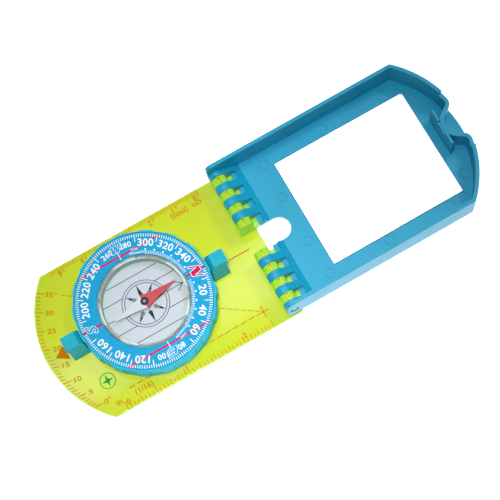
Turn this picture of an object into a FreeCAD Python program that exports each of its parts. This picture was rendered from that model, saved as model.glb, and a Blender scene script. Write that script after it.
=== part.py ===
import FreeCAD, Part

import math
import os

from FreeCAD import Vector

# Sighting compass, opened flat: a clear lime base plate that carries a turning dial,
# and a blue cover with a mirror that folds over the dial on a row of hinge knuckles.
# Millimetres. The parts are drawn about the dial's axis and set down at the end with the
# origin under the middle of the hinge line, level with the underside of the base plate.
# +X runs from the dial to the cover, +Y is the centimetre edge, +Z is up.

# Base plate
PLATE_THICK = 2.0
PLATE_HALF_WIDTH = 31.7
PLATE_END_X = 51.6            # hinge end
END_RADIUS = 44.2             # curved end, centred on the dial
HUB_BORE_R = 19.98
MARKER_X, MARKER_Y = 23.4, 24.6   # two small raised discs on the plate

# Hinge between plate and cover
HINGE_X = 47.75
HINGE_Z = 11.6
PIN_R = 0.9
PIN_FIT = 0.08                # running fit in the cover's hooks
KNUCKLE_R = 3.0
KNUCKLE_HALF = 1.55           # half width of one plate knuckle
FIRST_KNUCKLE_Y = 7.05
KNUCKLE_PITCH = 6.45
KNUCKLES_A_SIDE = 4
HOOK_R = 3.2
HOOK_HALF = 1.5

# Cover, lying open beyond the hinge
COVER_HALF_WIDTH = 31.75
COVER_BOTTOM = 5.9
COVER_RIM = 20.9
COVER_WALL = 1.5
COVER_START_X = 44.7          # near ends of the side walls
COVER_FLOOR_X = 53.0          # near edge of the floor
COVER_ARC_X = 2 * HINGE_X     # closes onto the curved end of the plate
FLOOR_TOP = COVER_BOTTOM + 1.5
RAMP_X = 57.5                 # where the hinge ramp meets the floor
NOTCH_DEPTH_X = 132.75
NOTCH_HALF = (2.8, 8.2)       # half widths of the sighting notch, at its bottom and its mouth
LOW_RIM_HALF = 12.3
LOW_RIM_DROP = 3.0
THUMB_R = 4.7
THUMB_X = 58.6
GATE_X = 130.5
GATE_THICK = 0.9
MIRROR_X = (69.7, 127.0)
MIRROR_HALF = 23.1
MIRROR_BASE = FLOOR_TOP - 0.5
GATE_RECESS = 0.45            # depth of the recess in the floor behind the gate
EJECTOR_R = 2.0

# Dial
DIAL_BOTTOM = PLATE_THICK + 0.15
DIAL_TOP = 13.2
RING_R = 27.2
GRIP_R = 27.65
GRIPS = 18
FOOT_TOP = DIAL_BOTTOM + 0.9
GROOVE_R = 26.5               # groove above the foot, where the index blocks hold the ring down
GROOVE_TOP = FOOT_TOP + 1.1
WEB_TOP = 12.4
HUB_R = 19.9
HUB_INNER_R = 18.0
CAPSULE_R = 17.9
CAPSULE_BOTTOM = 6.1
CHAMBER_R = 16.6
CHAMBER_FLOOR = 7.3

# Needle
NEEDLE_TURN = 5.5             # degrees off the dial's north line
NEEDLE_REACH = 14.6
NEEDLE_HALF = 3.25
LEAF_Z = 11.15
LEAF_THICK = 0.35
JEWEL_R = 0.9

# Index blocks, with a toe in the groove above the dial's foot
BLOCK_TOP = 14.4
BLOCK_TOP_HALF = 2.75
BLOCK_FOOT_HALF = 4.75
BLOCK_OUTER_X = 34.2
LEDGE_X = 35.0
TOE_Z = (FOOT_TOP + 0.3, GROOVE_TOP - 0.3)
PEG_X, PEG_Y, PEG_R = 31.3, 2.6, 0.9


def block(x0, x1, y0, y1, z0, z1):
    return Part.makeBox(x1 - x0, y1 - y0, z1 - z0, Vector(x0, y0, z0))


def disc(radius, z0, z1, x=0.0, y=0.0):
    return Part.makeCylinder(radius, z1 - z0, Vector(x, y, z0))


def tube(outer, inner, z0, z1):
    return disc(outer, z0, z1).cut(disc(inner, z0 - 1, z1 + 1))


def rod_y(radius, y0, y1, x=HINGE_X, z=HINGE_Z):
    return Part.makeCylinder(radius, y1 - y0, Vector(x, y0, z), Vector(0, 1, 0))


def slab_y(points, y0, y1):
    """A side view given as (x, z) points, thickened from y0 to y1."""
    ring = [Vector(x, y0, z) for x, z in points]
    return Part.Face(Part.makePolygon(ring + ring[:1])).extrude(Vector(0, y1 - y0, 0))


def slab_x(points, x0, x1):
    """An end view given as (y, z) points, thickened from x0 to x1."""
    ring = [Vector(x0, y, z) for y, z in points]
    return Part.Face(Part.makePolygon(ring + ring[:1])).extrude(Vector(x1 - x0, 0, 0))


def slab_z(points, z0, z1):
    """A plan given as (x, y) points, thickened from z0 to z1."""
    ring = [Vector(x, y, z0) for x, y in points]
    return Part.Face(Part.makePolygon(ring + ring[:1])).extrude(Vector(0, 0, z1 - z0))


def fuse_all(shapes):
    return shapes[0].multiFuse(shapes[1:]).removeSplitter()


def round_edges(shape, radius, chosen):
    """Fillet the edges whose middle point passes the test."""
    edges = [e for e in shape.Edges if chosen(e, e.valueAt((e.FirstParameter + e.LastParameter) / 2))]
    return shape.makeFillet(radius, edges)


def is_upright(edge):
    box = edge.BoundBox
    return box.ZLength > 0.2 and box.XLength < 0.01 and box.YLength < 0.01


def tangent_point(x, z, radius, side):
    """Where the line from (x, z) touches a circle round the hinge axis."""
    dx, dz = x - HINGE_X, z - HINGE_Z
    angle = math.atan2(dz, dx) + side * math.acos(radius / math.hypot(dx, dz))
    return HINGE_X + radius * math.cos(angle), HINGE_Z + radius * math.sin(angle)


def hinge_rows(first, count):
    """Middle y of each knuckle or hook, on both sides of the centre line."""
    steps = [first + KNUCKLE_PITCH * n for n in range(count)]
    return [side * step for side in (-1, 1) for step in steps]


def base_plate():
    curved = disc(END_RADIUS, 0, PLATE_THICK)
    curved = curved.common(block(-60, 0, -PLATE_HALF_WIDTH, PLATE_HALF_WIDTH, 0, PLATE_THICK))
    straight = block(0, PLATE_END_X, -PLATE_HALF_WIDTH, PLATE_HALF_WIDTH, 0, PLATE_THICK)
    plate = curved.fuse(straight).removeSplitter()
    plate = round_edges(plate, 2.0, lambda e, p: is_upright(e) and p.x > 50)
    plate = round_edges(plate, 1.0, lambda e, p: is_upright(e) and p.x < -20)
    plate = round_edges(plate, 0.3, lambda e, p: not is_upright(e) and e.BoundBox.ZLength < 0.01)
    plate = plate.cut(disc(HUB_BORE_R, -1, PLATE_THICK + 1))
    left, right = HINGE_X - KNUCKLE_R, HINGE_X + KNUCKLE_R
    heel_top = COVER_BOTTOM - 0.2
    last_y = FIRST_KNUCKLE_Y + KNUCKLE_PITCH * (KNUCKLES_A_SIDE - 1)
    pieces = [plate]
    for side in (-1, 1):
        ends = sorted((side * (FIRST_KNUCKLE_Y - KNUCKLE_HALF), side * (last_y + KNUCKLE_HALF)))
        pieces.append(block(left, right, ends[0], ends[1], 1.0, 5.5))
        # a heel behind the knuckles stops the cover when it lies flat
        heel = [(right - 1, 1.5), (PLATE_END_X - 0.4, 1.5), (54.0, 4.4), (54.0, heel_top),
                (right - 1, heel_top)]
        ends = sorted((ends[0], ends[1], side * (last_y + KNUCKLE_HALF + 0.95)))
        pieces.append(slab_y(heel, ends[0], ends[2]))
        pieces.append(disc(1.35, 1.0, PLATE_THICK + 0.25, -MARKER_X, side * MARKER_Y))
    for y in hinge_rows(FIRST_KNUCKLE_Y, KNUCKLES_A_SIDE):
        near, far = y - KNUCKLE_HALF, y + KNUCKLE_HALF
        pieces.append(block(left, right, near, far, 1.0, HINGE_Z))
        pieces.append(rod_y(KNUCKLE_R, near, far))
    plate = fuse_all(pieces)
    cuts = []
    for side in (-1, 1):
        ends = sorted((side * 3.0, side * (last_y + 4)))
        cuts.append(rod_y(PIN_R + 0.01, ends[0], ends[1]))
    for y in hinge_rows(FIRST_KNUCKLE_Y, KNUCKLES_A_SIDE):
        # a window in the top of each knuckle shows the pin
        cuts.append(block(HINGE_X - 0.55, HINGE_X + 0.55, y - 1.3, y + 1.3, HINGE_Z, HINGE_Z + 5))
    for side in (-1, 1):
        for peg_y in (-PEG_Y, PEG_Y):
            cuts.append(disc(PEG_R + 0.03, -1, PLATE_THICK + 1, side * PEG_X, peg_y))
            cuts.append(disc(1.55, -1, 0.6, side * PEG_X, peg_y))
    return plate.cut(cuts)


def index_block(side):
    """A block beside the dial: its toe reaches over the dial's foot, its pegs go through the plate."""
    outline = [(-BLOCK_FOOT_HALF, PLATE_THICK), (BLOCK_FOOT_HALF, PLATE_THICK),
               (BLOCK_TOP_HALF, BLOCK_TOP), (-BLOCK_TOP_HALF, BLOCK_TOP)]
    body = slab_x(outline, 26, BLOCK_OUTER_X)
    ledge = block(BLOCK_OUTER_X - 1, LEDGE_X, -3.1, 3.1, 11.2, 12.8)
    body = fuse_all([body, ledge])
    body = body.cut(disc(GRIP_R + 0.3, TOE_Z[1], BLOCK_TOP + 1))
    body = body.cut(disc(GROOVE_R + 0.3, TOE_Z[0], TOE_Z[1]))
    body = body.cut(disc(RING_R + 0.3, PLATE_THICK - 1, TOE_Z[0]))
    body = body.cut(Part.makeCone(GRIP_R + 0.3, GRIP_R + 1.7, 2.3, Vector(0, 0, BLOCK_TOP - 2.2)))
    body = body.cut(disc(0.9, BLOCK_TOP - 0.3, BLOCK_TOP + 1, 31.8, 0.6).cut(disc(0.45, 0, 20, 31.8, 0.6)))
    pegs = []
    for y in (-PEG_Y, PEG_Y):
        pegs.append(disc(PEG_R, 0.1, PLATE_THICK + 1, PEG_X, y))
        pegs.append(disc(1.5, 0.1, 0.58, PEG_X, y))
    body = fuse_all([body] + pegs)
    if side < 0:
        body = body.rotated(Vector(0, 0, 0), Vector(0, 0, 1), 180)
    return body


def hinge_pin(side):
    ends = sorted((side * (FIRST_KNUCKLE_Y - KNUCKLE_HALF + 0.1), side * (COVER_HALF_WIDTH - 0.25)))
    pin = rod_y(PIN_R, ends[0], ends[1])
    return round_edges(pin, 0.2, lambda e, p: e.BoundBox.YLength < 0.01)


def cover_plan(z0, z1):
    """The cover's plan, a long box with the same curved end as the plate."""
    curved = disc(END_RADIUS, z0, z1, COVER_ARC_X)
    curved = curved.common(block(COVER_ARC_X, 200, -COVER_HALF_WIDTH, COVER_HALF_WIDTH, z0, z1))
    straight = block(COVER_START_X, COVER_ARC_X, -COVER_HALF_WIDTH, COVER_HALF_WIDTH, z0, z1)
    plan = curved.fuse(straight).removeSplitter()
    return round_edges(plan, 1.5, lambda e, p: is_upright(e) and p.x > 100)


def notched_plan():
    """The cover's plan, which turns in to a sighting notch at the far end."""
    plan = cover_plan(COVER_BOTTOM, COVER_RIM)
    mouth_x = COVER_ARC_X + END_RADIUS + 1
    bottom, mouth = NOTCH_HALF
    notch = [(NOTCH_DEPTH_X, -bottom), (mouth_x, -mouth), (mouth_x, mouth), (NOTCH_DEPTH_X, bottom)]
    plan = plan.cut(slab_z(notch, COVER_BOTTOM - 1, COVER_RIM + 1))
    plan = round_edges(plan, 4.4, lambda e, p: is_upright(e) and abs(p.y) < 4 and p.x > 130)
    return round_edges(plan, 3.4, lambda e, p: is_upright(e) and 5 < abs(p.y) < 12 and p.x > 130)


def inside_of(plan, floor_z):
    """The room inside the wall, down to a height."""
    top = max(plan.Faces, key=lambda f: f.CenterOfMass.z)
    return top.makeOffset2D(-COVER_WALL).extrude(Vector(0, 0, floor_z - COVER_RIM))


def cover_wall(plan):
    """The standing wall, open towards the hinge and lower round the notch."""
    mouth = block(COVER_START_X - 1, COVER_START_X + 5, COVER_WALL - COVER_HALF_WIDTH,
                  COVER_HALF_WIDTH - COVER_WALL, COVER_BOTTOM - 1, COVER_RIM + 1)
    low = block(120, 150, -LOW_RIM_HALF, LOW_RIM_HALF, COVER_RIM - LOW_RIM_DROP, COVER_RIM + 1)
    return plan.cut([low, inside_of(plan, FLOOR_TOP), mouth])


def is_outer_rim(edge, middle):
    """The outer top edges of the side walls and the curved end."""
    flat = edge.BoundBox.ZLength < 0.01 and abs(middle.z - COVER_RIM) < 0.01
    at_side = abs(abs(middle.y) - COVER_HALF_WIDTH) < 0.01
    at_end = middle.x > 110 and abs(math.hypot(middle.x - COVER_ARC_X, middle.y) - END_RADIUS) < 0.02
    return flat and (at_side or at_end)


def hinge_hook(near, far):
    """One hook: a barrel on the pin and an arm that runs down to the cover's floor."""
    upper = tangent_point(RAMP_X, FLOOR_TOP, HOOK_R, 1)
    lower = tangent_point(COVER_FLOOR_X, COVER_BOTTOM, HOOK_R, -1)
    arm = [(RAMP_X, FLOOR_TOP), upper, (HINGE_X, HINGE_Z), lower,
           (COVER_FLOOR_X, COVER_BOTTOM), (RAMP_X, COVER_BOTTOM)]
    return slab_y(arm, near, far).fuse(rod_y(HOOK_R, near, far))


def ejector_mark(x, y):
    """The fine round groove that an ejector pin leaves in the floor."""
    return disc(EJECTOR_R, FLOOR_TOP - 0.3, FLOOR_TOP + 1, x, y).cut(disc(EJECTOR_R - 0.35, 0, 30, x, y))


def cover_shell():
    inner_half = COVER_HALF_WIDTH - COVER_WALL
    plan = notched_plan()
    floor = cover_plan(COVER_BOTTOM, FLOOR_TOP)
    shell = fuse_all([cover_wall(plan), floor])
    shell = shell.cut(block(40, COVER_FLOOR_X, -inner_half, inner_half, 0, 30))
    # round the near ends of the side walls, so that they swing clear of the plate
    shell = round_edges(shell, 2.5, lambda e, p: e.BoundBox.YLength > 1 and e.BoundBox.ZLength < 0.01
                        and p.x < COVER_START_X + 0.1)
    shell = round_edges(shell, 0.3, is_outer_rim)
    slope = tangent_point(RAMP_X, FLOOR_TOP, HOOK_R, 1)
    rise = (slope[1] - FLOOR_TOP) / (RAMP_X - slope[0])
    ramp_x = 55.2
    ramp = [(ramp_x, FLOOR_TOP - 0.5), (RAMP_X, FLOOR_TOP - 0.5), (RAMP_X, FLOOR_TOP),
            (ramp_x, FLOOR_TOP + rise * (RAMP_X - ramp_x))]
    pieces = [shell, slab_y(ramp, -inner_half - 0.5, inner_half + 0.5)]
    first_hook = FIRST_KNUCKLE_Y + KNUCKLE_PITCH / 2
    for y in hinge_rows(first_hook, KNUCKLES_A_SIDE - 1):
        pieces.append(hinge_hook(y - HOOK_HALF, y + HOOK_HALF))
    cheek = FIRST_KNUCKLE_Y + KNUCKLE_PITCH * (KNUCKLES_A_SIDE - 1) + KNUCKLE_HALF + 0.25
    pieces.append(hinge_hook(cheek, inner_half + 0.5))
    pieces.append(hinge_hook(-inner_half - 0.5, -cheek))
    # sight gate behind the notch: a thin tongue with two ears and a lower middle
    back_x = GATE_X + GATE_THICK
    pieces.append(block(GATE_X, back_x, -8.0, 8.0, FLOOR_TOP - 0.5, COVER_RIM - 3.3))
    pieces.append(block(GATE_X, back_x, 2.7, 7.75, FLOOR_TOP, COVER_RIM - 1.0))
    pieces.append(block(GATE_X, back_x, -7.75, -2.7, FLOOR_TOP, COVER_RIM - 1.0))
    shell = fuse_all(pieces)
    cuts = [disc(THUMB_R, 0, FLOOR_TOP + 3, THUMB_X),
            block(COVER_FLOOR_X - 1, THUMB_X, -THUMB_R, THUMB_R, 0, FLOOR_TOP + 5),
            block(MIRROR_X[0] - 0.15, MIRROR_X[1] + 0.15, -MIRROR_HALF - 0.15, MIRROR_HALF + 0.15,
                  MIRROR_BASE, FLOOR_TOP + 1)]
    recess = inside_of(plan, FLOOR_TOP - GATE_RECESS)
    recess = recess.common(block(back_x, 150, -12.5, 12.5, 0, FLOOR_TOP + 0.5))
    cuts.append(recess.cut([disc(5.8, 0, 30, 132.3, 13.0), disc(5.8, 0, 30, 132.3, -13.0)]))
    hole = PIN_R + PIN_FIT
    for side in (-1, 1):
        ends = sorted((side * 5.0, side * 40.0))
        cuts.append(rod_y(hole, ends[0], ends[1]))
        ends = sorted((side * (COVER_HALF_WIDTH - 0.8), side * 40.0))
        cuts.append(rod_y(1.9, ends[0], ends[1]))
        for x, y in ((66.2, 25.1), (92.8, 25.7), (119.9, 25.7), (65.8, 10.0)):
            cuts.append(ejector_mark(x, side * y))
    for x, y in ((130.8, -17.2), (135.6, 10.2)):
        cuts.append(ejector_mark(x, y))
    for y in hinge_rows(first_hook, KNUCKLES_A_SIDE - 1):
        cuts.append(disc(0.95, HINGE_Z + HOOK_R - 0.55, HINGE_Z + 6, HINGE_X, y))
    return shell.cut(cuts)


def mirror_tape():
    return block(MIRROR_X[0] + 1, MIRROR_X[1] - 1, 1 - MIRROR_HALF, MIRROR_HALF - 1,
                 MIRROR_BASE, MIRROR_BASE + 0.15)


def mirror():
    glass = block(MIRROR_X[0], MIRROR_X[1], -MIRROR_HALF, MIRROR_HALF, MIRROR_BASE + 0.15, MIRROR_BASE + 0.95)
    return glass.makeChamfer(0.15, [e for e in glass.Edges if e.BoundBox.ZMin > MIRROR_BASE + 0.9])


def grip_sector(angle, width):
    """A wedge that keeps one grip land out of a full ring."""
    corners = [(0, 0)]
    for turn in (-width / 2, width / 2):
        t = math.radians(angle + turn)
        corners.append((40 * math.cos(t), 40 * math.sin(t)))
    return slab_z(corners, 0, 20)


def dial_ring():
    hub_bottom = 0.4
    section = [(HUB_INNER_R, hub_bottom), (HUB_R, hub_bottom), (HUB_R, 10.9), (25.4, 10.9),
               (25.4, DIAL_BOTTOM), (RING_R, DIAL_BOTTOM), (RING_R, FOOT_TOP), (GROOVE_R, FOOT_TOP),
               (GROOVE_R, GROOVE_TOP), (RING_R, GROOVE_TOP), (RING_R, DIAL_TOP), (26.8, DIAL_TOP),
               (26.8, WEB_TOP), (HUB_INNER_R, WEB_TOP), (HUB_INNER_R, CAPSULE_BOTTOM), (16.9, CAPSULE_BOTTOM),
               (16.9, CAPSULE_BOTTOM - 1.2), (HUB_INNER_R, CAPSULE_BOTTOM - 1.2)]
    points = [Vector(r, 0, z) for r, z in section]
    ring = Part.Face(Part.makePolygon(points + points[:1])).revolve(Vector(0, 0, 0), Vector(0, 0, 1), 360)
    grips = tube(GRIP_R, RING_R - 0.3, GROOVE_TOP, DIAL_TOP - 0.4)
    step = 360 / GRIPS
    lands = [grips.common(grip_sector(n * step, step / 2)) for n in range(GRIPS)]
    return fuse_all([ring] + lands)


def dial_scale_plate():
    plate = tube(26.4, HUB_INNER_R + 0.05, WEB_TOP, DIAL_TOP - 0.05)
    return round_edges(plate, 0.15, lambda e, p: p.z > DIAL_TOP - 0.1)


def capsule_cup():
    cup = disc(CAPSULE_R, CAPSULE_BOTTOM, WEB_TOP)
    cup = cup.cut([disc(CHAMBER_R, CHAMBER_FLOOR, WEB_TOP + 1), disc(17.3, WEB_TOP - 0.5, WEB_TOP + 1)])
    boss = disc(1.5, CHAMBER_FLOOR - 0.5, CHAMBER_FLOOR + 1.1)
    return cup.fuse(boss).removeSplitter().cut(disc(0.36, CHAMBER_FLOOR - 0.4, CHAMBER_FLOOR + 2))


def capsule_seal():
    return tube(17.25, CHAMBER_R + 0.05, WEB_TOP - 0.5, WEB_TOP)


def capsule_lens():
    lens = disc(CAPSULE_R, WEB_TOP, DIAL_TOP + 0.2)
    return round_edges(lens, 0.35, lambda e, p: e.BoundBox.ZMin > DIAL_TOP)


def rose_card():
    return tube(16.4, 1.6, CHAMBER_FLOOR, CHAMBER_FLOOR + 0.2)


def pivot_pin():
    stem = disc(0.35, CHAMBER_FLOOR - 0.4, 10.2)
    return stem.fuse(Part.makeCone(0.35, 0.04, 0.8, Vector(0, 0, 10.2))).removeSplitter()


def needle_leaf(side):
    """One pointed half of the needle, pressed from thin sheet, flared at its root."""
    seam = -0.45
    flank = [(seam, NEEDLE_HALF), (side * 1.3, 2.4), (side * 3.8, 1.8)]
    outline = flank + [(side * NEEDLE_REACH, 0)] + [(x, -y) for x, y in reversed(flank)]
    leaf = slab_z(outline, LEAF_Z, LEAF_Z + LEAF_THICK)
    leaf = round_edges(leaf, 0.12, lambda e, p: is_upright(e))
    return leaf.cut(disc(JEWEL_R, 0, 20))


def needle_magnet():
    bar = block(-5.5, 5.5, -1.4, 1.4, LEAF_Z - 0.55, LEAF_Z)
    return bar.cut(disc(JEWEL_R, 0, 20))


def needle_cap():
    cap = disc(1.55, LEAF_Z + LEAF_THICK, 12.0)
    cap = round_edges(cap, 0.2, lambda e, p: e.BoundBox.ZMin > 11.9)
    return cap.cut(disc(0.6, 0, 20))


def jewel_cup():
    cup = disc(JEWEL_R, 10.0, LEAF_Z + LEAF_THICK)
    cup = cup.fuse(disc(0.6, 11, 11.85)).removeSplitter()
    cup = cup.cut(disc(0.42, 9.5, 10.25))
    return cup.cut(Part.makeCone(0.42, 0.1, 0.83, Vector(0, 0, 10.25)))


def turned(shape):
    """The needle stands a few degrees off the dial's north line."""
    return shape.rotated(Vector(0, 0, 0), Vector(0, 0, 1), NEEDLE_TURN)


def main():
    parts = {
        "base_plate": base_plate(),
        "index_block_front": index_block(1),
        "index_block_rear": index_block(-1),
        "hinge_pin_left": hinge_pin(1),
        "hinge_pin_right": hinge_pin(-1),
        "cover_shell": cover_shell(),
        "mirror_tape": mirror_tape(),
        "mirror": mirror(),
        "dial_ring": dial_ring(),
        "dial_scale_plate": dial_scale_plate(),
        "capsule_cup": capsule_cup(),
        "capsule_seal": capsule_seal(),
        "capsule_lens": capsule_lens(),
        "rose_card": rose_card(),
        "pivot_pin": pivot_pin(),
        "needle_north_leaf": turned(needle_leaf(1)),
        "needle_south_leaf": turned(needle_leaf(-1)),
        "needle_magnet": turned(needle_magnet()),
        "needle_cap": turned(needle_cap()),
        "jewel_cup": turned(jewel_cup()),
    }
    os.makedirs("parts", exist_ok=True)
    for name, shape in parts.items():
        if shape.ShapeType != "Solid" and len(shape.Solids) == 1:
            shape = shape.Solids[0]
        shape = shape.translated(Vector(-HINGE_X, 0, 0))
        print(name, "solids", len(shape.Solids), "valid", shape.isValid(), "volume", round(shape.Volume, 1))
        shape.exportStep(os.path.join("parts", name + ".step"))


main()
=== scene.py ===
# %% [markdown]
# # A sighting compass, finished in Blender
# The compass lies open: a clear lime base plate with printed rulers, a blue dial that turns
# round a liquid capsule, and a blue cover with a mirror. The solid parts come from the CAD
# model, which is loaded first and stays where it is. This lesson gives those parts their
# finishes, then adds what is printed on them, and lights the scene.

# %% Load the fixed frame
import math

import bpy
from mathutils import Matrix, Vector


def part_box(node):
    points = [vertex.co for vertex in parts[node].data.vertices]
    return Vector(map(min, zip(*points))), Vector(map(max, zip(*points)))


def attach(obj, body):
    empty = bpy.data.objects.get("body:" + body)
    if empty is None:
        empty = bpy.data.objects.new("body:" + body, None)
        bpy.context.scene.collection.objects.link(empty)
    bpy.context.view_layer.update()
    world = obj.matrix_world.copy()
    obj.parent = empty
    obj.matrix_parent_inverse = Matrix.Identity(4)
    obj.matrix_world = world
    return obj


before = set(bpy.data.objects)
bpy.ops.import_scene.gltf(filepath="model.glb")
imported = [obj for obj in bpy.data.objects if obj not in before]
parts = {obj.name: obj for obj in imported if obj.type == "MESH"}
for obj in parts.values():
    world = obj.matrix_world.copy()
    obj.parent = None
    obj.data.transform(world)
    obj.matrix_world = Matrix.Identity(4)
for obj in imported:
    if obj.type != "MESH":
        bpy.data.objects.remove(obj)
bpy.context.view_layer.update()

# %% [markdown]
# ## Where things are
# Every print belongs to a surface of a CAD part, so the heights are read from the parts'
# boxes. The plate and the dial are laid out round the dial's axis, so places on them are
# given in millimetres from that axis: x towards the hinge, y towards the centimetre edge.

# %% Read the dial's axis and the printed surfaces
MM = 0.001
lens_low, lens_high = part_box("capsule_lens")
DIAL_X = (lens_low.x + lens_high.x) / 2
DIAL_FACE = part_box("dial_scale_plate")[1].z
CARD_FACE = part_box("rose_card")[1].z
PLATE_FACE = 2 * MM
print("dial axis x", round(DIAL_X, 5), "dial face", round(DIAL_FACE, 5), "card", round(CARD_FACE, 5))

# %% [markdown]
# ## The camera
# The compass is seen from almost straight above, a little from its inch edge, and the view
# is rolled so that the cover points up and to the right. A long lens from 60 cm keeps the
# two halves nearly the same scale.

# %% Set up the camera
bpy.ops.object.select_all(action="DESELECT")
bpy.ops.object.camera_add(location=(-0.0449, -0.1521, 0.6099))
camera = bpy.context.object
camera.rotation_euler = [math.radians(a) for a in (14.074, 3.574, -29.547)]
camera.data.lens = 116.83
camera.data.sensor_width = 36
bpy.context.scene.camera = camera
print("camera", [round(v, 3) for v in camera.location], "lens", round(camera.data.lens, 1))

# %% [markdown]
# ## The studio
# A product picture on white is made on a glowing table, in a room kept fairly dark. A soft
# key spot hangs over the dial, so the dial and the plate are bright and the far end of the
# cover falls off into shade. A weaker spot from the cover's side fills the hinge.
# Shiny plastic shows its colour only where it mirrors something dark, and turns pale where
# it mirrors a light. So three panels hang overhead, each where the camera sees it mirrored:
# one in the hinge and the near half of the cover, one in the rest of the mirror, and a long
# strip in a band across the base plate. The colours are kept as they are, without a film
# curve, so that the white table stays white.

# %% Lay the table and hang the lights
TABLE_GLOW, ROOM_GLOW = 0.76, 0.2
KEY_POWER, FILL_POWER = 25.5, 8.0
SPOT_EDGE = 0.45
bpy.context.scene.view_settings.view_transform = "Standard"

bpy.ops.mesh.primitive_plane_add(size=8, location=(0, 0, -0.0001))
table = bpy.context.object
table.name = "studio_table"
table_white = bpy.data.materials.new("table_white")
table_white.use_nodes = True
table_paint = table_white.node_tree.nodes["Principled BSDF"]
table_paint.inputs["Base Color"].default_value = (0.9, 0.9, 0.9, 1)
table_paint.inputs["Roughness"].default_value = 0.9
table_paint.inputs["Emission Color"].default_value = (1, 1, 1, 1)
table_paint.inputs["Emission Strength"].default_value = TABLE_GLOW
table.data.materials.append(table_white)

room = bpy.data.worlds.new("dim_room")
bpy.context.scene.world = room
room.use_nodes = True
room.node_tree.nodes["Background"].inputs["Color"].default_value = (0.88, 0.95, 1, 1)
room.node_tree.nodes["Background"].inputs["Strength"].default_value = ROOM_GLOW


def hang_softbox(name, place, aim, wide, deep, glow):
    """A rectangular light that points at a place. Its glow is how bright its front looks."""
    bpy.ops.object.select_all(action="DESELECT")
    bpy.ops.object.light_add(type="AREA", location=place)
    lamp = bpy.context.object
    lamp.name = name
    lamp.data.shape = "RECTANGLE"
    lamp.data.size = wide
    lamp.data.size_y = deep
    lamp.data.energy = glow * 4 * wide * deep
    lamp.rotation_euler = (Vector(aim) - Vector(place)).to_track_quat("-Z", "Y").to_euler()


def hang_panel(name, left, right, near, far, height, glow):
    """A level panel that faces straight down, given by its four sides."""
    place = ((left + right) / 2, (near + far) / 2, height)
    hang_softbox(name, place, (place[0], place[1], 0), right - left, far - near, glow)


def set_spot(name, place, aim, pool, softness, power):
    """A spotlight with a soft edge. The pool is the radius of the ground that it lights."""
    bpy.ops.object.select_all(action="DESELECT")
    bpy.ops.object.light_add(type="SPOT", location=place)
    lamp = bpy.context.object
    lamp.name = name
    beam = Vector(aim) - Vector(place)
    lamp.data.spot_size = 2 * math.atan(pool / beam.length)
    lamp.data.spot_blend = SPOT_EDGE
    lamp.data.shadow_soft_size = softness
    lamp.data.energy = power
    lamp.rotation_euler = beam.to_track_quat("-Z", "Y").to_euler()


set_spot("key_over_dial", (-0.1, -0.14, 0.9), (-0.03, -0.04, 0), 0.14, 0.1, KEY_POWER)
set_spot("fill_over_hinge", (0.34, 0.08, 0.6), (0.0, 0.0, 0), 0.085, 0.1, FILL_POWER)
hang_panel("panel_over_hinge", 0.06, 0.2, 0.14, 0.34, 0.95, 2.2)
hang_panel("panel_over_mirror", 0.2, 0.3, 0.14, 0.34, 0.95, 0.98)
hang_panel("strip_over_plate", -0.17, 0.06, 0.17, 0.225, 0.9, 3.0)

# %% [markdown]
# ## Building materials
# Every finish starts from the same shader. A small helper adds a node, fills in its inputs
# and links it, so that each recipe below reads as a list of what is mixed with what. The
# patterns use Object coordinates: they are fixed in the part, in metres, and move with it.

# %% Helpers that build a node recipe


def new_finish(name):
    finish = bpy.data.materials.new(name)
    finish.use_nodes = True
    return finish


def shader_of(finish):
    return finish.node_tree.nodes["Principled BSDF"]


def add_node(finish, kind, inputs=None, **settings):
    """Adds one node. An input is given a value, or linked if it is another node's output."""
    node = finish.node_tree.nodes.new("ShaderNode" + kind)
    for key, value in settings.items():
        setattr(node, key, value)
    for key, value in (inputs or {}).items():
        plug(finish, node.inputs[key], value)
    return node


def plug(finish, socket, value):
    if isinstance(value, bpy.types.NodeSocket):
        finish.node_tree.links.new(value, socket)
    else:
        socket.default_value = value


def place_of(finish):
    return add_node(finish, "TexCoord").outputs["Object"]


def noise(finish, scale, detail=3.0, stretch=None):
    """A cloudy pattern. The scale counts its lumps in a metre."""
    where = place_of(finish)
    if stretch:
        where = add_node(finish, "Mapping", {"Vector": where, "Scale": stretch}).outputs["Vector"]
    cloud = add_node(finish, "TexNoise", {"Vector": where, "Scale": scale, "Detail": detail})
    return cloud.outputs[0]


def spread(finish, value, low, high, to_low=0.0, to_high=1.0):
    """Stretches the part of a value between low and high over a new range."""
    inputs = {"Value": value, "From Min": low, "From Max": high, "To Min": to_low, "To Max": to_high}
    return add_node(finish, "MapRange", inputs).outputs["Result"]


def mix(finish, share, first, second):
    """A colour between two colours."""
    return add_node(finish, "Mix", {0: share, 6: first, 7: second}, data_type="RGBA").outputs[2]


def from_dial_axis(finish):
    """The place on a part counted from the dial's axis, and how far from the axis it is."""
    place = add_node(finish, "Mapping", {"Vector": place_of(finish), "Location": (-DIAL_X, 0, 0)})
    axes = add_node(finish, "SeparateXYZ", {"Vector": place.outputs["Vector"]}).outputs
    flat = add_node(finish, "CombineXYZ", {"X": axes["X"], "Y": axes["Y"]}).outputs["Vector"]
    reach = add_node(finish, "VectorMath", {0: flat}, operation="LENGTH").outputs["Value"]
    return axes, reach


def dents(finish, height, strength, depth):
    """Lets a pattern dent the surface by up to depth metres."""
    inputs = {"Height": height, "Strength": strength, "Distance": depth}
    bump = add_node(finish, "Bump", inputs)
    plug(finish, shader_of(finish).inputs["Normal"], bump.outputs["Normal"])


def rgb(red, green, blue):
    """A colour given as the 0 to 255 values that a screen shows."""
    linear = []
    for value in (red, green, blue):
        c = value / 255
        linear.append(c / 12.92 if c <= 0.04045 else ((c + 0.055) / 1.055) ** 2.4)
    return (*linear, 1.0)


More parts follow.
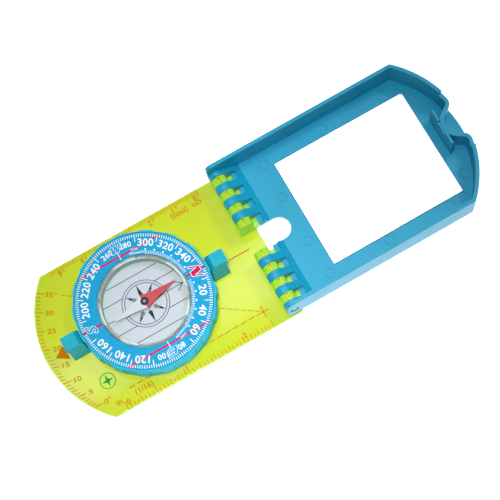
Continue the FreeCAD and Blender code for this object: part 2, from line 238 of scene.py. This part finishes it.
def dress(finish, *names):
    """Gives a finish to CAD parts."""
    for name in names:
        for slot in parts[name].material_slots:
            slot.material = finish
    print(finish.name, "on", ", ".join(names))


# %% [markdown]
# ## Moulded plastic
# The dial, the blocks and the cover are injection moulded. The colour is in the plastic, so
# it hardly changes, but it drifts a little where the melt flowed, and the tool leaves a
# fine grain that breaks up the shine. Two near colours, a cloud between them, a cloud in
# the roughness and a shallow grain give all of that. The cover has the deeper grain and the
# stronger shine, and the dial and the blocks shine less, so only the numbers differ.

# %% Mix the blue plastics


def moulded_plastic(name, deep, pale, rough, grain_depth, ior=1.46):
    finish = new_finish(name)
    shader = shader_of(finish)
    flow = spread(finish, noise(finish, 45.0, 2.0), 0.3, 0.7)
    plug(finish, shader.inputs["Base Color"], mix(finish, flow, deep, pale))
    patches = noise(finish, 260.0, 4.0)
    plug(finish, shader.inputs["Roughness"], spread(finish, patches, 0.3, 0.7, rough - 0.04, rough + 0.05))
    dents(finish, noise(finish, 2600.0, 2.0), 0.5, grain_depth)
    shader.inputs["IOR"].default_value = ior
    return finish


cover_blue = moulded_plastic("cover_blue", rgb(6, 160, 198), rgb(14, 168, 206), 0.38, 0.0000008)
ring_blue = moulded_plastic("ring_blue", rgb(36, 188, 214), rgb(48, 198, 222), 0.46, 0.0000005, 1.18)
block_blue = moulded_plastic("block_blue", rgb(26, 176, 200), rgb(36, 184, 208), 0.36, 0.0000005, 1.25)
face_blue = moulded_plastic("face_blue", rgb(4, 160, 212), rgb(8, 168, 218), 0.34, 0.0000005, 1.24)
dress(cover_blue, "cover_shell")
dress(ring_blue, "dial_ring")
dress(block_blue, "index_block_front", "index_block_rear")
dress(face_blue, "dial_scale_plate")

# %% [markdown]
# ## Clear lime acrylic
# The base plate is clear plastic with a fluorescent dye, and it looks greener where it is thick,
# as in the hinge knuckles. The shader is partly see-through, and its colour goes from yellow-lime
# to green-lime with the height above the plate. The light that the dye gathers and gives off is
# painted: the faces that stand upright get a painted green edge glow and shade, partly the dye
# seen edge-on, a pale band of painted glow follows the outline, and the whole plate has a faint
# painted glow of its own, brighter in the knuckles.

# %% Mix the lime acrylic
lime = new_finish("lime_acrylic")
lime_shader = shader_of(lime)
lime_axes, lime_reach = from_dial_axis(lime)
across = add_node(lime, "Math", {0: lime_axes["Y"]}, operation="ABSOLUTE").outputs["Value"]
# A pale band along the outline is a painted edge glow.
at_side = spread(lime, across, 30.9 * MM, 31.7 * MM)
at_end = spread(lime, lime_reach, 43.3 * MM, 44.2 * MM)
is_end = spread(lime, lime_axes["X"], -21 * MM, -19 * MM, 1.0, 0.0)
at_curve = add_node(lime, "Math", {0: at_end, 1: is_end}, operation="MULTIPLY").outputs["Value"]
outline_painted_glow = add_node(lime, "Math", {0: at_side, 1: at_curve}, operation="MAXIMUM").outputs["Value"]
thick = spread(lime, lime_axes["Z"], 2.1 * MM, 4.5 * MM)
drift = spread(lime, noise(lime, 30.0, 2.0), 0.3, 0.7)
lime_flat = mix(lime, drift, rgb(196, 210, 2), rgb(206, 217, 8))
lime_thick = mix(lime, thick, lime_flat, rgb(172, 228, 50))
# Faces that stand upright get a painted green edge glow and shade, partly the dye seen edge-on.
facing = add_node(lime, "SeparateXYZ", {"Vector": add_node(lime, "TexCoord").outputs["Normal"]})
level = add_node(lime, "Math", {0: facing.outputs["Z"]}, operation="ABSOLUTE").outputs["Value"]
upright_painted_glow = spread(lime, level, 0.05, 0.6, 1.0, 0.0)
lime_with_painted_edge_glow = mix(lime, upright_painted_glow, lime_thick, rgb(122, 212, 26))
lime_colour = mix(lime, outline_painted_glow, lime_with_painted_edge_glow, rgb(176, 232, 60))
plug(lime, lime_shader.inputs["Base Color"], lime_colour)
# The plate's emission is a painted glow, brighter in the thick knuckles and greener on upright faces.
lime_painted_glow = mix(lime, upright_painted_glow, mix(lime, thick, lime_flat, rgb(176, 244, 90)), rgb(90, 210, 20))
plug(lime, lime_shader.inputs["Emission Color"], lime_painted_glow)
lime_shader.inputs["Emission Strength"].default_value = 0.14
lime_scuff = noise(lime, 420.0, 4.0)
plug(lime, lime_shader.inputs["Roughness"], spread(lime, lime_scuff, 0.3, 0.7, 0.05, 0.11))
lime_shader.inputs["Alpha"].default_value = 0.82
dents(lime, noise(lime, 38.0, 1.0), 0.2, 0.0001)
dress(lime, "base_plate")

# %% [markdown]
# ## The capsule
# The cup and its lens are clear, with a faint green cast where the wall is thick. The seal
# is a pale ring in the joint. The card under the needle is matt silver: a pale grey, a little
# uneven, with a painted green cast of light from the cup towards its rim.

# %% Mix the capsule's finishes


def clear_plastic(name, tint, see_through, rough, ior):
    """Clear parts show their colour at a slant, where there is more material to look through."""
    finish = new_finish(name)
    shader = shader_of(finish)
    shader.inputs["IOR"].default_value = ior
    slant = add_node(finish, "LayerWeight", {"Blend": 0.35}).outputs["Facing"]
    cloud = spread(finish, noise(finish, 120.0, 2.0), 0.2, 0.8, 0.0, 0.01)
    body = spread(finish, slant, 0.12, 1.0, see_through, min(1.0, see_through + 0.5))
    plug(finish, shader.inputs["Alpha"], add_node(finish, "Math", {0: body, 1: cloud}).outputs["Value"])
    deep = tuple(c * 0.8 for c in tint[:3]) + (1.0,)
    plug(finish, shader.inputs["Base Color"], mix(finish, slant, tint, deep))
    haze = noise(finish, 500.0)
    plug(finish, shader.inputs["Roughness"], spread(finish, haze, 0.3, 0.7, rough, rough + 0.04))
    return finish


dress(clear_plastic("capsule_clear", rgb(184, 210, 202), 0.8, 0.3, 1.22), "capsule_cup")
dress(clear_plastic("lens_clear", rgb(235, 242, 240), 0.0, 0.03, 1.4), "capsule_lens")
dress(clear_plastic("seal_rubber", rgb(240, 247, 244), 0.85, 0.3, 1.3), "capsule_seal")

card_silver = new_finish("card_silver")
patches = spread(card_silver, noise(card_silver, 1500.0, 3.0), 0.3, 0.7)
plain_card = mix(card_silver, patches, rgb(195, 202, 212), rgb(201, 208, 218))
# Towards the rim the card gets a painted green cast of light from the cup.
card_rim_painted_light = spread(card_silver, from_dial_axis(card_silver)[1], 12.5 * MM, 16.4 * MM)
plug(card_silver, shader_of(card_silver).inputs["Base Color"],
     mix(card_silver, card_rim_painted_light, plain_card, rgb(192, 208, 207)))
plug(card_silver, shader_of(card_silver).inputs["Roughness"],
     spread(card_silver, noise(card_silver, 900.0), 0.3, 0.7, 0.42, 0.52))
dress(card_silver, "rose_card")

# %% [markdown]
# ## Metal, glass and paint
# The pins are brass wire, drawn through a die, so their marks run along them. The mirror is
# a sheet of acrylic with silver behind it, so it is a nearly perfect mirror with a soft
# haze. The needle's leaves are painted, and paint has a slight orange peel.

# %% Mix the small parts' finishes


def metal(name, colour, worn, rough, stretch, metallic=1.0):
    finish = new_finish(name)
    shader = shader_of(finish)
    shader.inputs["Metallic"].default_value = metallic
    lines = noise(finish, 900.0, 3.0, stretch)
    plug(finish, shader.inputs["Base Color"], mix(finish, spread(finish, lines, 0.35, 0.65), colour, worn))
    plug(finish, shader.inputs["Roughness"], spread(finish, lines, 0.3, 0.7, rough, rough + 0.12))
    return finish


def paint(name, colour, second, rough, ior=1.45):
    finish = new_finish(name)
    shader = shader_of(finish)
    shader.inputs["IOR"].default_value = ior
    cloud = spread(finish, noise(finish, 700.0, 3.0), 0.3, 0.7)
    plug(finish, shader.inputs["Base Color"], mix(finish, cloud, colour, second))
    plug(finish, shader.inputs["Roughness"], spread(finish, cloud, 0.0, 1.0, rough, rough + 0.1))
    dents(finish, noise(finish, 1800.0, 1.0), 0.3, 0.000004)
    return finish


dress(metal("brass_wire", rgb(255, 222, 60), rgb(250, 208, 40), 0.4, (1, 0.05, 1), 0.25),
      "hinge_pin_left", "hinge_pin_right")
dress(metal("mirror_silver", rgb(248, 250, 251), rgb(243, 246, 248), 0.02, (1, 1, 1)), "mirror")
dress(metal("point_steel", rgb(190, 192, 196), rgb(160, 163, 168), 0.25, (1, 1, 0.1)),
      "pivot_pin", "needle_magnet")
dress(paint("needle_red", rgb(196, 46, 60), rgb(204, 56, 68), 0.35), "needle_north_leaf")
dress(paint("needle_white", rgb(202, 210, 214), rgb(210, 217, 220), 0.4), "needle_south_leaf")
dress(paint("hub_dark", rgb(26, 38, 46), rgb(36, 48, 56), 0.4, 1.2), "needle_cap")
dress(paint("jewel_grey", rgb(140, 152, 158), rgb(158, 168, 174), 0.2), "jewel_cup")
dress(paint("tape_grey", rgb(205, 208, 206), rgb(190, 194, 192), 0.7), "mirror_tape")

# %% [markdown]
# ## Ink
# All the markings are pad printed: a thin, even film of ink that stands a hair above the
# plastic. They are modelled as thin solids, so they follow the dial when it turns and stay
# sharp from any angle. Ink on plastic is slightly uneven, so its finish has a cloud in its
# colour too.

# %% Mix the inks
INK_RISE = 0.02 * MM
INK_SINK = 0.01 * MM


def ink(name, colour, second):
    return paint(name, colour, second, 0.5, 1.1)


orange_ink = ink("orange_ink", rgb(214, 122, 6), rgb(220, 132, 12))
red_ink = ink("red_ink", rgb(208, 92, 30), rgb(214, 102, 36))
green_ink = ink("green_ink", rgb(0, 172, 44), rgb(12, 182, 56))
white_ink = ink("white_ink", rgb(240, 246, 250), rgb(248, 251, 253))
pink_ink = ink("pink_ink", rgb(214, 20, 88), rgb(222, 28, 96))
grey_ink = ink("grey_ink", rgb(74, 80, 86), rgb(84, 90, 96))
rose_ink = ink("rose_ink", rgb(136, 142, 148), rgb(146, 152, 158))
black_ink = ink("black_ink", rgb(38, 44, 52), rgb(48, 54, 62))
print("ink stands", INK_RISE * 1000, "mm above the plastic")

# %% [markdown]
# ## Strokes, patches and rings of ink
# A ruler has many strokes of a few kinds. Each kind is modelled once, flat on the origin:
# a plane of the right size, its corners cut off, then pulled up to the film's thickness.
# Copies, each with its own mesh, are set at their places and joined into one print.

# %% Helpers that model ink


def finish_film(name):
    """Pulls the flat shape in edit mode up into a film, and faces it outwards."""
    film = bpy.context.object
    film.name = name
    bpy.ops.mesh.select_all(action="SELECT")
    bpy.ops.mesh.extrude_region_move(TRANSFORM_OT_translate={"value": (0, 0, INK_RISE + INK_SINK)})
    bpy.ops.mesh.select_all(action="SELECT")
    bpy.ops.mesh.normals_make_consistent(inside=False)
    bpy.ops.object.mode_set(mode="OBJECT")
    return film


def stroke(length, width):
    """A stroke along x, from 0 to its length."""
    bpy.ops.object.select_all(action="DESELECT")
    bpy.ops.mesh.primitive_plane_add(size=1, location=(length * MM / 2, 0, -INK_SINK))
    bpy.context.object.scale = (length * MM, width * MM, 1)
    bpy.ops.object.transform_apply(location=True, rotation=True, scale=True)
    bpy.ops.object.mode_set(mode="EDIT")
    bpy.ops.mesh.select_all(action="SELECT")
    bpy.ops.mesh.bevel(offset=width * MM * 0.25, segments=1, affect="VERTICES")
    return finish_film("stroke")


def patch(corners):
    """A filled shape. A disc with as many corners as the outline is pulled into shape."""
    bpy.ops.object.select_all(action="DESELECT")
    bpy.ops.mesh.primitive_circle_add(vertices=len(corners), radius=MM, fill_type="NGON",
                                      location=(0, 0, 0))
    for corner, (x, y) in zip(bpy.context.object.data.vertices, corners):
        corner.co = (x * MM, y * MM, -INK_SINK)
    bpy.ops.object.mode_set(mode="EDIT")
    return finish_film("patch")


def hoop(radius, width, steps=96):
    """A thin ring: a disc with its middle cut out."""
    bpy.ops.object.select_all(action="DESELECT")
    bpy.ops.mesh.primitive_circle_add(vertices=steps, radius=(radius + width / 2) * MM,
                                      fill_type="NGON", location=(0, 0, -INK_SINK))
    bpy.ops.object.transform_apply(location=True, rotation=True, scale=True)
    bpy.ops.object.mode_set(mode="EDIT")
    bpy.ops.mesh.select_all(action="SELECT")
    bpy.ops.mesh.inset(thickness=width * MM)
    bpy.ops.mesh.delete(type="FACE")
    return finish_film("hoop")


CAPITAL = 0.729      # height of a capital letter in a font of size 1


def lettering(text, height, squeeze=1.0, bold=0.0, gap=1.0, slant=0.0):
    """A word as a film of ink, centred on the origin, with the height of its capitals in mm."""
    bpy.ops.object.select_all(action="DESELECT")
    bpy.ops.object.text_add(location=(0, 0, 0))
    word = bpy.context.object
    word.data.body = text
    word.data.offset = bold
    word.data.space_character = gap
    word.data.resolution_u = 3
    word.data.extrude = 0.5
    bpy.ops.object.convert(target="MESH")
    word = bpy.context.object
    bpy.ops.object.mode_set(mode="EDIT")
    bpy.ops.mesh.select_all(action="SELECT")
    bpy.ops.mesh.remove_doubles(threshold=0.0005)
    bpy.ops.mesh.normals_make_consistent(inside=False)
    bpy.ops.object.mode_set(mode="OBJECT")
    xs = [v.co.x for v in word.data.vertices]
    size = height * MM / CAPITAL
    centre = Matrix.Translation((-(min(xs) + max(xs)) / 2, -CAPITAL / 2, 0.5))
    lean = Matrix.Identity(4)
    lean[0][1] = math.tan(math.radians(slant)) / squeeze
    shape = Matrix.Diagonal((size * squeeze, size, INK_RISE + INK_SINK, 1))
    word.data.transform(shape @ lean @ centre)
    word.data.transform(Matrix.Translation((0, 0, -INK_SINK)))
    return word


def stamp(master, places):
    """Copies of a shape at (x, y, degrees), in mm from the dial's axis. The shape itself goes."""
    copies = []
    for x, y, turn in places:
        mark = master.copy()
        mark.data = master.data.copy()
        bpy.context.scene.collection.objects.link(mark)
        spot = Matrix.Translation((DIAL_X + x * MM, y * MM, 0))
        mark.data.transform(spot @ Matrix.Rotation(math.radians(turn), 4, "Z"))
        copies.append(mark)
    bpy.data.objects.remove(master)
    return copies


def printed(name, marks, ink_used, body, height):
    """Joins the marks into one print at a height, and lets it ride on a body."""
    bpy.ops.object.select_all(action="DESELECT")
    for mark in marks:
        mark.select_set(True)
    bpy.context.view_layer.objects.active = marks[0]
    if len(marks) > 1:
        bpy.ops.object.join()
    film = bpy.context.object
    film.name = name
    film.data.name = name
    film.data.transform(Matrix.Translation((0, 0, height)))
    film.data.materials.clear()
    film.data.materials.append(ink_used)
    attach(film, body)
    print(name, len(marks), "marks,", len(film.data.polygons), "faces")
    return film


# %% [markdown]
# ## The centimetre ruler
# The long edge on the far side has a millimetre scale. Its zero is at the hinge end and it
# is read from that edge, so its numbers stand on their heads for the camera. A whole
# centimetre has the longest stroke, a half has a middle one.

# %% Print the centimetre ruler
EDGE = 31.35
CM_ZERO = 38.4
marks = []
wholes = [n for n in range(66) if n % 10 == 0]
halves = [n for n in range(66) if n % 10 == 5]
others = [n for n in range(66) if n % 5]
for steps, length, width in ((wholes, 2.9, 0.38), (halves, 2.3, 0.3), (others, 1.75, 0.28)):
    marks += stamp(stroke(length, width), [(CM_ZERO - n, EDGE, -90) for n in steps])
for number in range(7):
    marks += stamp(lettering(str(number), 2.2, 1.05, 0.02), [(CM_ZERO - 10 * number - 1.65, 28.5, 180)])
marks += stamp(lettering("cm", 2.5, 1.0, 0.015), [(36.4, 26.0, 180)])
marks += stamp(lettering("(mm)", 2.5, 1.0, 0.015), [(28.6, 26.0, 180)])
printed("centimetre_ruler", marks, orange_ink, "base", PLATE_FACE)

# %% [markdown]
# ## The inch ruler
# The near edge is divided into sixteenths of an inch. Each halving has a shorter stroke, so
# the eye finds quarters and eighths without counting.

# %% Print the inch ruler
INCH = 25.4
INCH_ZERO = -25.24
marks = []
for parts_in_inch, length in ((1, 2.9), (2, 2.5), (4, 2.3), (8, 2.0), (16, 1.65)):
    step = 16 // parts_in_inch
    places = [n for n in range(41) if n % step == 0 and (step == 16 or n % (2 * step))]
    width = 0.38 if parts_in_inch == 1 else 0.3
    marks += stamp(stroke(length, width), [(INCH_ZERO + n * INCH / 16, -EDGE, 90) for n in places])
for number in range(3):
    marks += stamp(lettering(str(number), 2.2, 1.05, 0.02), [(INCH_ZERO + INCH * number + 1.3, -28.6, 0)])
marks += stamp(lettering("in.", 2.4, 1.0, 0.015), [(-26.8, -27.0, 0)])
marks += stamp(lettering("(1/16)", 2.4, 1.0, 0.015), [(-16.2, -26.9, 0)])
printed("inch_ruler", marks, orange_ink, "base", PLATE_FACE)

# %% [markdown]
# ## The slope protractor
# From a cross near the hinge, a fan of rays is cut off by the curved end of the plate, and
# only the rays' ends are printed there, one for each degree, with a number for every fifth.
# Each end runs from one circle round the dial's axis to another, so its length and place
# come from where the ray crosses those circles.

# %% Print the protractor
CROSS = Vector((37.5, -24.35))
OUTER_R, LONG_R, SHORT_R = 43.6, 40.75, 41.75


def ray_end(degrees, radius):
    """How far along a ray from the cross it meets a circle round the dial's axis."""
    ray = Vector((-math.cos(math.radians(degrees)), math.sin(math.radians(degrees))))
    along = -CROSS.dot(ray)
    aside = CROSS.length_squared - along * along
    return along + math.sqrt(radius * radius - aside), ray


marks = []
for degrees in range(36):
    far, ray = ray_end(degrees, OUTER_R)
    near, ray = ray_end(degrees, LONG_R if degrees % 5 == 0 else SHORT_R)
    end = CROSS + ray * far
    marks += stamp(stroke(far - near, 0.36 if degrees % 5 == 0 else 0.3), [(end.x, end.y, -degrees)])
    if degrees % 5 == 0:
        label = str(degrees) + ("°" if degrees in (0, 35) else "")
        spot = CROSS + ray * (near - (2.6 if degrees >= 10 else 2.0))
        marks += stamp(lettering(label, 2.0, 1.3, 0.012), [(spot.x, spot.y, -degrees)])
printed("slope_protractor", marks, orange_ink, "base", PLATE_FACE)

# %% [markdown]
# ## The cross, its dashed lines and the travel line
# The cross is the hole for a plumb line. Dashed lines join it to both ends of the
# protractor. The travel line and the triangle behind the dial point the way to go.

# %% Print the lines and the triangle


def dashes(start, end, dash, gap, width):
    """Strokes of one length along a straight line."""
    run = Vector(end) - Vector(start)
    turn = math.degrees(math.atan2(run.y, run.x))
    count = int((run.length + gap) / (dash + gap))
    spots = [Vector(start) + run.normalized() * n * (dash + gap) for n in range(count)]
    return stamp(stroke(dash, width), [(p.x, p.y, turn) for p in spots])


marks = stamp(stroke(5.2, 0.38), [(CROSS.x, CROSS.y - 2.6, 90)])
marks += stamp(stroke(5.0, 0.38), [(CROSS.x - 3.0, CROSS.y, 0)])
marks += dashes((CROSS.x - 3.8, CROSS.y), (-28.2, CROSS.y), 2.6, 0.9, 0.38)
near, ray = ray_end(35, LONG_R)
fan_end = CROSS + ray * (near - 4.9)
marks += dashes(CROSS + ray * 1.2, fan_end, 1.9, 0.8, 0.32)
printed("plumb_cross", marks, orange_ink, "base", PLATE_FACE)
marks = stamp(stroke(9.0, 0.42), [(36.1, 0, 0)])
printed("travel_line", marks, red_ink, "base", PLATE_FACE)
marks = stamp(patch([(-35.4, -3.1), (-35.4, 3.1), (-40.4, 0)]), [(0, 0, 0)])
printed("rear_triangle", marks, orange_ink, "base", PLATE_FACE)

# %% [markdown]
# ## A sign on the plate
# A green sign fills the corner by the inch ruler. It is a plain four-pointed star in a
# ring, as maps use for north.

# %% Print the green star


def star(points, outer, inner):
    """Corners of a star round the origin."""
    corners = []
    for n in range(2 * points):
        angle = math.radians(180 * n / points)
        reach = inner if n % 2 else outer
        corners.append((reach * math.cos(angle), reach * math.sin(angle)))
    return corners


SIGN_X, SIGN_Y = -27.1, -17.7
marks = stamp(hoop(3.0, 0.35, 48), [(SIGN_X, SIGN_Y, 0)])
marks += stamp(patch(star(4, 2.6, 0.75)), [(SIGN_X, SIGN_Y, 0)])
printed("star_sign", marks, green_ink, "base", PLATE_FACE)

# %% [markdown]
# ## The dial's degree scale
# The dial reads clockwise from north. It has a stroke for every second degree and a number
# for every twentieth, and at the tens between them the stroke is longer. Numbers have their
# tops outwards. Next to east and west they are smaller, to make room for the letters.

# %% Print the degree scale


def on_dial(azimuth, radius, turn=0.0):
    """A place on the dial, with a turn counted from the way outwards."""
    angle = math.radians(-azimuth)
    return (radius * math.cos(angle), radius * math.sin(angle), turn - azimuth)


long_at = [azimuth for azimuth in range(10, 360, 20) if azimuth not in (90, 270)]
short_at = [azimuth for azimuth in range(0, 360, 2) if azimuth not in long_at and azimuth % 180]
marks = stamp(stroke(1.25, 0.3), [on_dial(a, 25.0) for a in short_at])
marks += stamp(stroke(3.1, 0.34), [on_dial(a, 23.15) for a in long_at])
for azimuth in range(20, 360, 20):
    if azimuth == 180:
        continue
    small = azimuth in (80, 100, 260, 280)
    number = lettering(str(azimuth), 2.2 if small else 2.95, 1.0, 0.022, 1.06)
    marks += stamp(number, [on_dial(azimuth, 22.9 if small else 22.8, -90)])
printed("degree_scale", marks, white_ink, "dial", DIAL_FACE + 0.01 * MM)

# %% [markdown]
# ## The dial's letters
# North is a solid pink letter with a heavy diagonal and a white outline. East, south and
# west are white outlines. Both kinds are made in the same way: a white shape with its
# outline moved out a little, and on top of it a coloured one. All letters lean clockwise.

# %% Print the letters
LETTER_R = 22.8
SLANT = 21.0


def grown(corners, by):
    """A closed outline, drawn anticlockwise, with every side moved outwards."""
    moved = []
    for n, corner in enumerate(corners):
        here = Vector(corner)
        before = (here - Vector(corners[n - 1])).normalized()
        after = (Vector(corners[(n + 1) % len(corners)]) - here).normalized()
        out_before, out_after = Vector((before.y, -before.x)), Vector((after.y, -after.x))
        middle = (out_before + out_after).normalized()
        moved.append(tuple(here + middle * by / max(0.35, middle.dot(out_after))))
    return moved


def leaning(corners, width, height):
    """A letter's corners, centred on the origin and slanted."""
    lean = math.tan(math.radians(SLANT))
    return [(x - width / 2 + (y - height / 2) * lean, y - height / 2) for x, y in corners]


def north_letter(width=4.1, height=4.0, thin=0.55, heavy=1.8, nick=0.94):
    corners = [(0, 0), (thin, 0), (thin, height - nick), (width - heavy, 0), (width, 0), (width, height),
               (width - thin, height), (width - thin, nick), (heavy, height), (0, height)]
    return leaning(corners, width, height)


def east_letter(width=3.8, height=3.1, bar=0.72, stem=1.2):
    low, high = (height - bar) / 2, (height + bar) / 2
    corners = [(0, 0), (width, 0), (width, bar), (stem, bar), (stem, low), (width * 0.9, low),
               (width * 0.9, high), (stem, high), (stem, height - bar), (width, height - bar),
               (width, height), (0, height)]
    return leaning(corners, width, height)


def west_letter(width=4.6, height=3.1, arm=1.15, crotch=1.5):
    middle = width / 2
    foot, peak, hip = 0.3, 0.45, 1.4
    right = [(middle, crotch), (middle + foot, 0), (middle + foot + arm, 0), (width, height),
             (width - arm, height), (width - hip, crotch), (middle + peak, height)]
    left = [(middle - peak, height), (hip, crotch), (arm, height), (0, height),
            (middle - foot - arm, 0), (middle - foot, 0)]
    return leaning(right + left, width, height)


white_marks = stamp(patch(grown(north_letter(), 0.24)), [on_dial(0, LETTER_R - 0.3, -90)])
pink_marks = stamp(patch(north_letter()), [on_dial(0, LETTER_R - 0.3, -90)])
blue_marks = []
for corners, azimuth in ((east_letter(), 90), (west_letter(), 270)):
    white_marks += stamp(patch(grown(corners, 0.08)), [on_dial(azimuth, LETTER_R, -90)])
    blue_marks += stamp(patch(grown(corners, -0.1)), [on_dial(azimuth, LETTER_R, -90)])
for marks, bold in ((white_marks, 0.055), (blue_marks, 0.022)):
    marks += stamp(lettering("S", 4.0, 1.15, bold, 1.0, SLANT), [on_dial(180, LETTER_R, -90)])
for azimuth in (90, 270):
    white_marks += stamp(stroke(3.1, 0.3), [on_dial(azimuth, 18.1)])
printed("letter_outlines", white_marks, white_ink, "dial", DIAL_FACE + 0.015 * MM)
printed("letter_insides", blue_marks, face_blue, "dial", DIAL_FACE + 0.03 * MM)
printed("letter_north", pink_marks, pink_ink, "dial", DIAL_FACE + 0.03 * MM)

# %% [markdown]
# ## The dial's pink lines
# Three pink lines run along the dial's north line: one through the middle, from the capsule
# outwards, and two that are cut off by the ring. They lie under the white numbers.

# %% Print the pink lines
CHORD_Y = 19.6
chord_half = math.sqrt(26.4 ** 2 - CHORD_Y ** 2)
marks = stamp(stroke(2 * chord_half, 0.75), [(-chord_half, CHORD_Y, 0), (-chord_half, -CHORD_Y, 0)])
marks += stamp(stroke(8.4, 0.85), [(18.1, 0, 0), (-26.5, 0, 0)])
printed("pink_lines", marks, pink_ink, "dial", DIAL_FACE)

# %% [markdown]
# ## The declination scale
# Inside the numbers, round north, is a fine scale to both sides with a dot at every tenth
# degree. It is used to set off the difference between true and magnetic north.

# %% Print the declination scale
fine_at = [a for a in range(-60, 61, 2) if abs(a) > 5]
marks = stamp(stroke(1.35, 0.2), [on_dial(a, 18.15) for a in fine_at])
dot = patch([(0.36 * math.cos(math.pi * n / 6), 0.36 * math.sin(math.pi * n / 6)) for n in range(12)])
marks += stamp(dot, [on_dial(a, 20.0) for a in range(-60, 61, 10) if a])
for side in (-1, 1):
    label = lettering("DECLINATION", 0.85, 0.8, 0.02, 1.05)
    marks += stamp(label, [on_dial(side * 69, 18.9, -90)])
    second = lettering("SCALE", 0.85, 0.8, 0.02, 1.05)
    marks += stamp(second, [on_dial(side * 72, 20.5, -90)])
printed("declination_scale", marks, white_ink, "dial", DIAL_FACE + 0.01 * MM)

# %% [markdown]
# ## The card under the needle
# The card has meridian lines to lay along a map's grid, an open arrow to park the needle
# in, and a compass rose. Its four main points are solid, and the four between them are grey
# with a dark spine and tip. One point of each kind is modelled and copied round.

# %% Print the rose and the lines
RINGS = (9.2, 8.15)
LINE = 0.3
marks = []
for y in (12.0, -12.0):
    marks += stamp(stroke(22.0, LINE), [(-11.0, y, 0)])
for y in (6.1, -6.1):
    inner = math.sqrt(RINGS[0] ** 2 - y * y)
    marks += stamp(stroke(15.4 - inner, LINE), [(inner, y, 0), (-15.4, y, 0)])
marks += stamp(stroke(7.0, LINE), [(9.25, 0, 0), (-16.3, 0, 0)])
marks += stamp(stroke(3.7, LINE), [(16.2, 0, 147), (16.2, 0, -147)])
for radius in RINGS:
    marks += stamp(hoop(radius, 0.28), [(0, 0, 0)])
printed("card_lines", marks, grey_ink, "dial", CARD_FACE)


def rose_point(start, half_width, tip=8.2):
    """One point of the rose, widest a little out from its root."""
    return [(start, 0), (start + 0.7, -half_width), (tip, 0), (start + 0.7, half_width)]


main_points = [(0, 0, 90 * n) for n in range(4)]
side_points = [(0, 0, 90 * n + 45) for n in range(4)]
marks = stamp(patch(rose_point(3.0, 0.82)), main_points)
marks += stamp(patch([(5.7, -0.44), (8.2, 0), (5.7, 0.44)]), side_points)
marks += stamp(stroke(2.6, 0.22), [(3.3 * math.cos(a), 3.3 * math.sin(a), math.degrees(a))
                                   for a in (math.radians(90 * n + 45) for n in range(4))])
printed("rose_dark", marks, black_ink, "dial", CARD_FACE + 0.01 * MM)
marks = stamp(patch(rose_point(3.0, 0.98)), side_points)
printed("rose_grey", marks, rose_ink, "dial", CARD_FACE)
